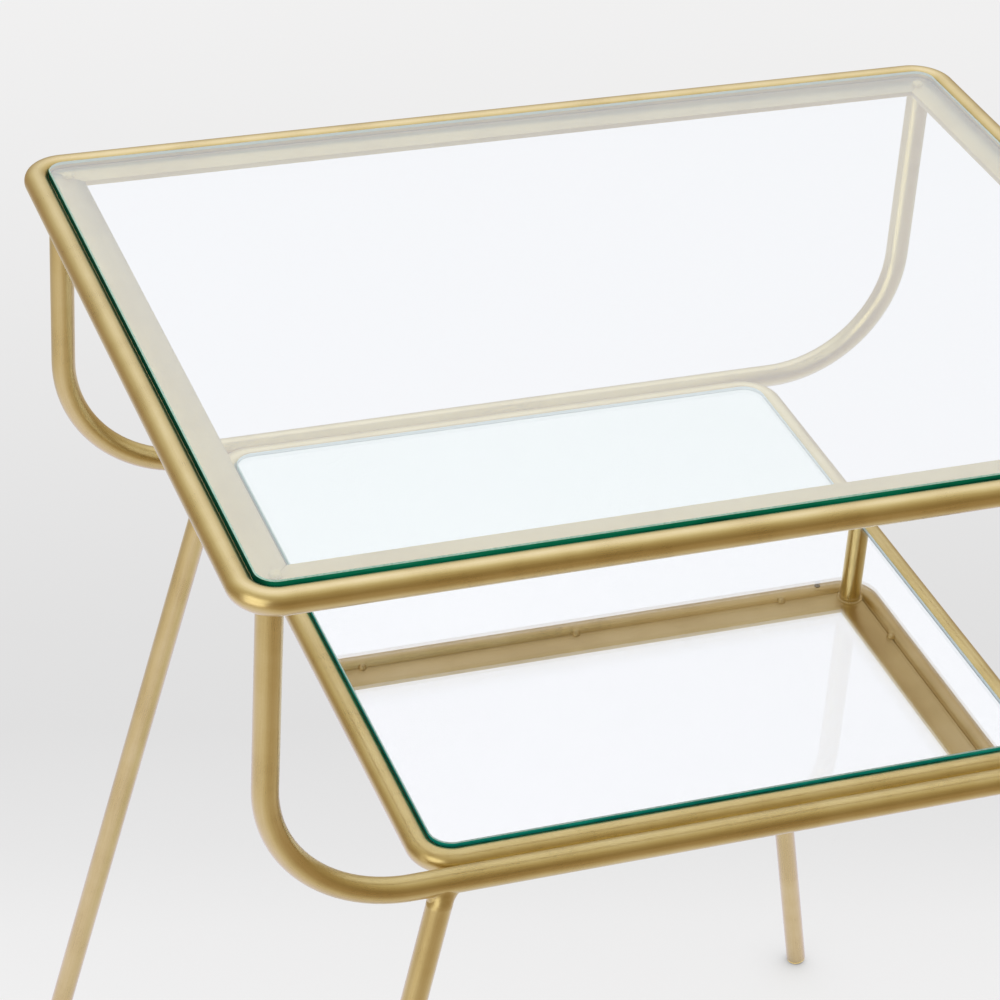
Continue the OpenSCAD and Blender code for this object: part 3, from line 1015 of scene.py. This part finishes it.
# A skin from the leg's wall to the hoop's underside, wider on the inner side of the leg
def blendRings(sideX, sideY):
    top, foot = legEnds(1, 1)
    axis = (foot - top).normalized()
    inward = Vector((-1, 0, 0)) + axis * axis.x
    inward.normalize()
    aside = Vector((0, 1, 0)) - axis * axis.y
    aside = (aside - inward * aside.dot(inward)).normalized()
    tubeEnd = runZ - legLook["weldLevel"] * tubeR - blendLook["overlap"]
    rings = []
    for i in range(blendLook["rings"]):
        turn = 2 * math.pi * i / blendLook["rings"]
        out = inward * math.cos(turn) + aside * math.sin(turn)
        inner = max(0, math.cos(turn))
        outer = max(0, -math.cos(turn))
        beside = abs(math.sin(turn))
        reach = blendLook["inner"] * inner ** 2 + blendLook["outer"] * outer ** 2
        # the skin leaves the leg's wall just under the end of the tube
        wall = top + out * (tubeR + blendLook["proud"])
        startZ = tubeEnd - blendLook["innerDrop"] * blendLook["inner"] * inner ** 2
        start = wall + axis * ((startZ - wall.z) / axis.z)
        # and lands on the hoop
        lean = math.radians(blendLook["lean"]) * math.sin(turn)
        normal = Vector((0, math.sin(lean), -math.cos(lean)))
        endZ = runZ + tubeR * normal.z
        middleX = top.x + axis.x / axis.z * (endZ - runZ)
        end = Vector((middleX - math.cos(turn) * (tubeR + reach), hoopHalfY + tubeR * normal.y, endZ))
        flat = (out - normal * out.dot(normal)).normalized()
        flat = flat.lerp(-axis, beside * blendLook["full"]).normalized()
        pull = (end - start).length * blendLook["pull"]
        startHandle = start - axis * pull
        endHandle = end - flat * (pull * (1 - blendLook["sideSlack"] * beside))
        points = [start - out * blendLook["sink"]]
        for step in range(blendLook["steps"] + 1):
            t = step / blendLook["steps"]
            points.append(start * (1 - t) ** 3 + startHandle * (3 * t * (1 - t) ** 2)
                          + endHandle * (3 * t * t * (1 - t)) + end * t ** 3)
        points.append(end - normal * blendLook["sink"])
        rings.append([Vector((p.x * sideX, p.y * sideY, p.z)) for p in points])
    return rings


def legWelds():
    points = []
    faces = []
    for corner in legCorners.values():
        rings = blendRings(*corner[1:])
        count = len(rings)
        depth = len(rings[0])
        base = len(points)
        for ring in rings:
            points.extend(ring)
        for i in range(count):
            j = (i + 1) % count
            for k in range(depth):
                m = (k + 1) % depth
                faces.append((base + i * depth + k, base + j * depth + k, base + j * depth + m,
                              base + i * depth + m))
    piece = turnOut(newPiece("legWelds", points, faces=faces))
    piece.data.materials.append(weldBrass)
    return smooth(piece, 50.0)


put(legWelds(), "frame", "leg_fillets")
print("leg welds ready")

stageLook = {
    "floorHalf": 14.0,
    # the way that the floor's bands of light run, and each band's distance along it and brightness
    "heading": (0.2498, 0.9683),
    "shades": ((0.26, 0.905), (0.335, 0.885), (0.425, 0.828), (0.52, 0.792), (0.564, 0.775), (0.69, 0.783),
               (0.93, 0.818), (1.25, 0.861), (1.60, 0.896), (1.84, 0.911)),
    "glow": 0.8,  # the share of the floor that shows as it is, whatever light falls on it
    # the soft shade close round the feet
    "contactReach": 0.035,
    "contactTint": (0.12, 0.13, 0.16, 1),
    # the paler floor that shows through glass
    "through": (1.052, 0.992, 1.058, 1),
    # what metal shows of the floor fades out in front of the table and to its right, and far away
    "fadeSide": (0.50, -0.87),
    "fadeFrom": 0.0,
    "fadeTo": 1.2,
    "farFrom": 0.55,
    "farTo": 2.4,
    "fadeTint": (0.44, 0.30, 0.13, 1),
    "middleTint": (1.0, 0.99, 0.72, 1),
    # and near the table it is cooler, and a little dimmer under it, where a painted shadow of the table is
    # put in what metal shows
    "nearTint": (1.06, 1.05, 1.40, 1),
    "underReach": 0.42,
    "underTint": (0.90, 0.90, 0.90, 1),
}


def makeFloor():
    material, pen = startMaterial("floorPale")
    parts = pen.split(objectPlace(pen))
    headX, headY = stageLook["heading"]
    away = parts["X"] * headX + parts["Y"] * headY
    first = stageLook["shades"][0][0]
    last = stageLook["shades"][-1][0]
    share = pen.node("ShaderNodeMapRange", {"Value": away, "From Min": first, "From Max": last})
    stops = [((at - first) / (last - first), (level, level, level, 1)) for at, level in stageLook["shades"]]
    bands = pen.node("ShaderNodeValToRGB", {0: share}, stops=stops)
    light = pen.node("ShaderNodeLightPath")
    # the part that only rough metal shows
    blurred = light["Is Glossy Ray"] * (1.0 - light["Is Singular Ray"])
    reach = pen.fromMiddle(parts)
    # painted shadow under the table, seen only in rough metal
    under = reach.between(stageLook["underReach"], 0.0) * blurred
    near = under.mix(blurred.mix(white, stageLook["nearTint"]), stageLook["underTint"])
    sideX, sideY = stageLook["fadeSide"]
    front = (parts["X"] * sideX + parts["Y"] * sideY).between(stageLook["fadeFrom"], stageLook["fadeTo"])
    far = reach.between(stageLook["farFrom"], stageLook["farTo"])
    faded = pen.math("MAXIMUM", front, far) * blurred
    halfway = (faded * (1.0 - faded) * 4.0).mix(white, stageLook["middleTint"])
    fade = faded.mix(near, stageLook["fadeTint"]).tinted(halfway)
    # and the part that shows everywhere but through glass
    gap = pen.node("ShaderNodeAmbientOcclusion", {"Distance": stageLook["contactReach"]}, out="AO",
                   samples=16)
    contact = gap.between(0.0, 1.0).mix(stageLook["contactTint"], white)
    shown = light["Is Transmission Ray"].mix(bands.tinted(fade).tinted(contact), stageLook["through"])
    glow = pen.node("ShaderNodeEmission", {"Color": shown, "Strength": 1.0})
    dull = pen.node("ShaderNodeBsdfDiffuse", {"Color": bands})
    seen = pen.math("MAXIMUM", light["Is Camera Ray"],
                    pen.math("MAXIMUM", light["Is Glossy Ray"], light["Is Transmission Ray"]))
    both = pen.node("ShaderNodeMixShader", {0: seen * stageLook["glow"], 1: dull, 2: glow})
    pen.node("ShaderNodeOutputMaterial", {"Surface": both})
    return material


half = stageLook["floorHalf"]
floor = newPiece("floor", [(-half, -half, 0), (half, -half, 0), (half, half, 0), (-half, half, 0)],
                 faces=[(0, 1, 2, 3)])
floor.data.materials.append(makeFloor())

skyLook = {
    # the side that the light comes from, and its colours from the far side round to that side
    "side": (0.10, 0.42, 0.90),
    "warm": ((-1.0, (0.34, 0.25, 0.14)), (-0.3, (0.34, 0.25, 0.14)), (0.0, (0.38, 0.30, 0.18)),
             (0.36, (0.51, 0.43, 0.28)), (0.66, (0.72, 0.68, 0.56)), (0.845, (1.02, 1.04, 1.07)),
             (1.0, (1.34, 1.42, 1.96))),
    # what clear glass and the mirror show: the same light, without the warm dim part
    "clean": ((-1.0, (0.84, 0.84, 0.85)), (0.5, (0.87, 0.87, 0.88)), (0.845, (0.99, 1.005, 1.03)),
              (0.92, (1.03, 1.04, 1.07)), (1.0, (0.98, 0.99, 1.00))),
    "seen": (0.86, 0.86, 0.86, 1),  # what the camera itself sees
}


# A studio that is bright above and behind the table and dim in front of it
def makeSky():
    world = bpy.data.worlds.new("studio")
    world.use_nodes = True
    world.node_tree.nodes.clear()
    sceneNow.world = world
    pen = Wire(world.node_tree)
    way = pen.node("ShaderNodeTexCoord", out="Generated")
    towards = pen.node("ShaderNodeVectorMath", {0: way, 1: skyLook["side"]}, out="Value",
                       operation="DOT_PRODUCT")
    warm, clean = [pen.node("ShaderNodeValToRGB", {0: towards * 0.5 + 0.5},
                            stops=[((at + 1) / 2, (*colour, 1)) for at, colour in skyLook[name]])
                   for name in ("warm", "clean")]
    light = pen.node("ShaderNodeLightPath")
    shown = light["Is Camera Ray"].mix(light["Is Singular Ray"].mix(warm, clean), skyLook["seen"])
    glow = pen.node("ShaderNodeBackground", {"Color": shown})
    pen.node("ShaderNodeOutputWorld", {"Surface": glow})


makeSky()

windowLook = {
    "at": (-2.05, -1.30, 1.05),
    "towards": (-0.16, -0.18, 0.50),
    "size": (2.0, 2.4),
    "power": 19.0,
    "colour": (0.90, 0.95, 1.0),
}
window = bpy.data.lights.new("window", "AREA")
window.shape = "RECTANGLE"
window.size, window.size_y = windowLook["size"]
window.energy = windowLook["power"]
window.color = windowLook["colour"]
windowObject = bpy.data.objects.new("window", window)
sceneNow.collection.objects.link(windowObject)
windowObject.location = windowLook["at"]
aim = Vector(windowLook["towards"]) - Vector(windowLook["at"])
windowObject.rotation_euler = aim.to_track_quat("-Z", "Y").to_euler()

cameraLook = {
    "at": (-0.59969, -1.34285, 1.50021),
    "turn": (57.2997, -3.2682, -19.5378),  # degrees
    "lens": 121.35,  # millimetres, as the sensor
    "sensor": 36.0,
}
camera = bpy.data.cameras.new("camera")
camera.lens = cameraLook["lens"]
camera.sensor_width = cameraLook["sensor"]
cameraObject = bpy.data.objects.new("camera", camera)
sceneNow.collection.objects.link(cameraObject)
cameraObject.location = cameraLook["at"]
cameraObject.rotation_euler = Euler([math.radians(a) for a in cameraLook["turn"]], "XYZ")
sceneNow.camera = cameraObject
print("stage ready")

bpy.context.view_layer.update()
